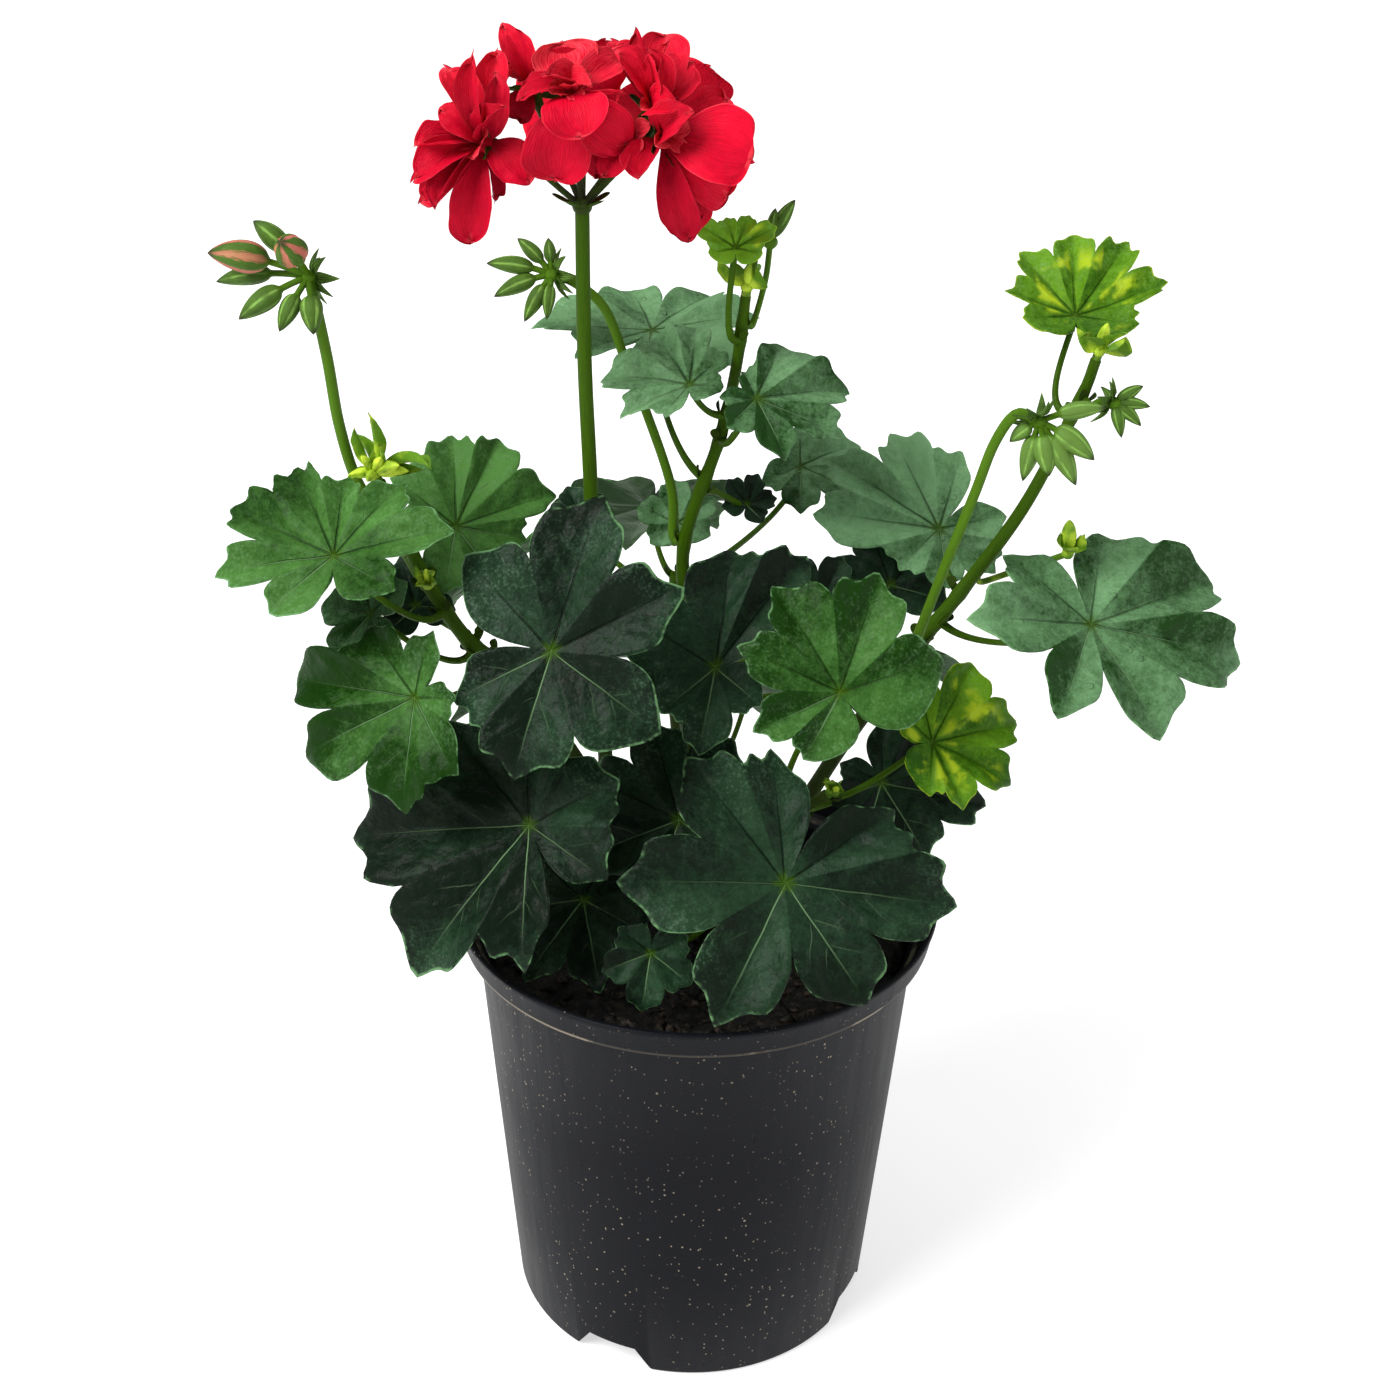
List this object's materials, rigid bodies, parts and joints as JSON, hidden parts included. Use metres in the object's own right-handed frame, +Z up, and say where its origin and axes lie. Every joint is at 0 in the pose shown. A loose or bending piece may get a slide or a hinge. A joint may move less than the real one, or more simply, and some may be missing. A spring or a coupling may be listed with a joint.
{
  "type": "potted ivy geranium",
  "caption": "Trailing ivy geranium with lobed leaves, a red double flower head and bud heads, growing in a tapered round nursery pot.",
  "frame": {"origin": "middle of the pot's underside", "axes": "+Z up through the plant, -Y the front with the flower head leaning a little to the left, +X the plant's right"},
  "size_m": [0.278, 0.1704, 0.3784],
  "materials": {
    "pot": "charcoal recycled plastic with a soft sheen and pale flecks",
    "soil": "dark damp potting mix of peat and bark",
    "stem": "olive green, slightly woody at the foot",
    "dark_leaf": "dark blue-green, waxy sheen, pale thin rim",
    "leaf": "mid green, waxy sheen",
    "grey_leaf": "grey-green, thin waxy bloom",
    "young_leaf": "fresh yellow-green, satin",
    "shoot": "yellow-green, satin",
    "bud": "green with pale stripes, satin",
    "petal": "bright red, velvety satin"
  },
  "bodies": {
    "root": {"leaf_front": "dark_leaf", "leaf_low_left": "dark_leaf", "leaf_mid_left": "dark_leaf", "leaf_left": "leaf", "leaf_upper_left": "leaf", "leaf_left_back": "leaf", "leaf_middle": "leaf", "leaf_middle_back": "dark_leaf", "leaf_right_young": "young_leaf", "leaf_right": "grey_leaf", "leaf_right_back": "grey_leaf", "leaf_top_right": "grey_leaf", "leaf_top_left": "grey_leaf", "leaf_top_back": "grey_leaf", "leaf_top_young": "young_leaf", "leaf_crown": "young_leaf", "leaf_front_shade": "dark_leaf", "leaf_right_low": "dark_leaf", "leaf_back_right": "grey_leaf", "leaf_centre_back": "grey_leaf", "leaf_centre_shade": "dark_leaf", "leaf_right_shade": "dark_leaf", "leaf_middle_shade": "dark_leaf", "leaf_left_grey": "grey_leaf", "leaf_left_shade": "dark_leaf", "leaf_low_front": "dark_leaf", "leaf_low_small": "dark_leaf", "leaf_stalk_shade": "dark_leaf", "leaf_back_low_left": "dark_leaf", "leaf_back_low": "dark_leaf", "leaf_back_right_low": "leaf", "leaf_back_middle": "leaf", "leaf_back_left": "leaf", "stem_centre": "stem", "stem_left": "stem", "stem_right": "stem", "stem_front": "stem", "stem_back": "stem", "flower_head": "petal", "flower_stalk": "stem", "buds_left": "bud", "buds_middle": "bud", "buds_right": "bud", "buds_small": "bud", "buds_crown": "bud", "shoot_left": "shoot", "shoot_centre": "shoot", "shoot_right": "shoot", "shoot_left_low": "shoot", "shoot_front": "shoot", "shoot_right_low": "shoot", "pot": "pot", "soil": "soil"}
  },
  "joints": []
}
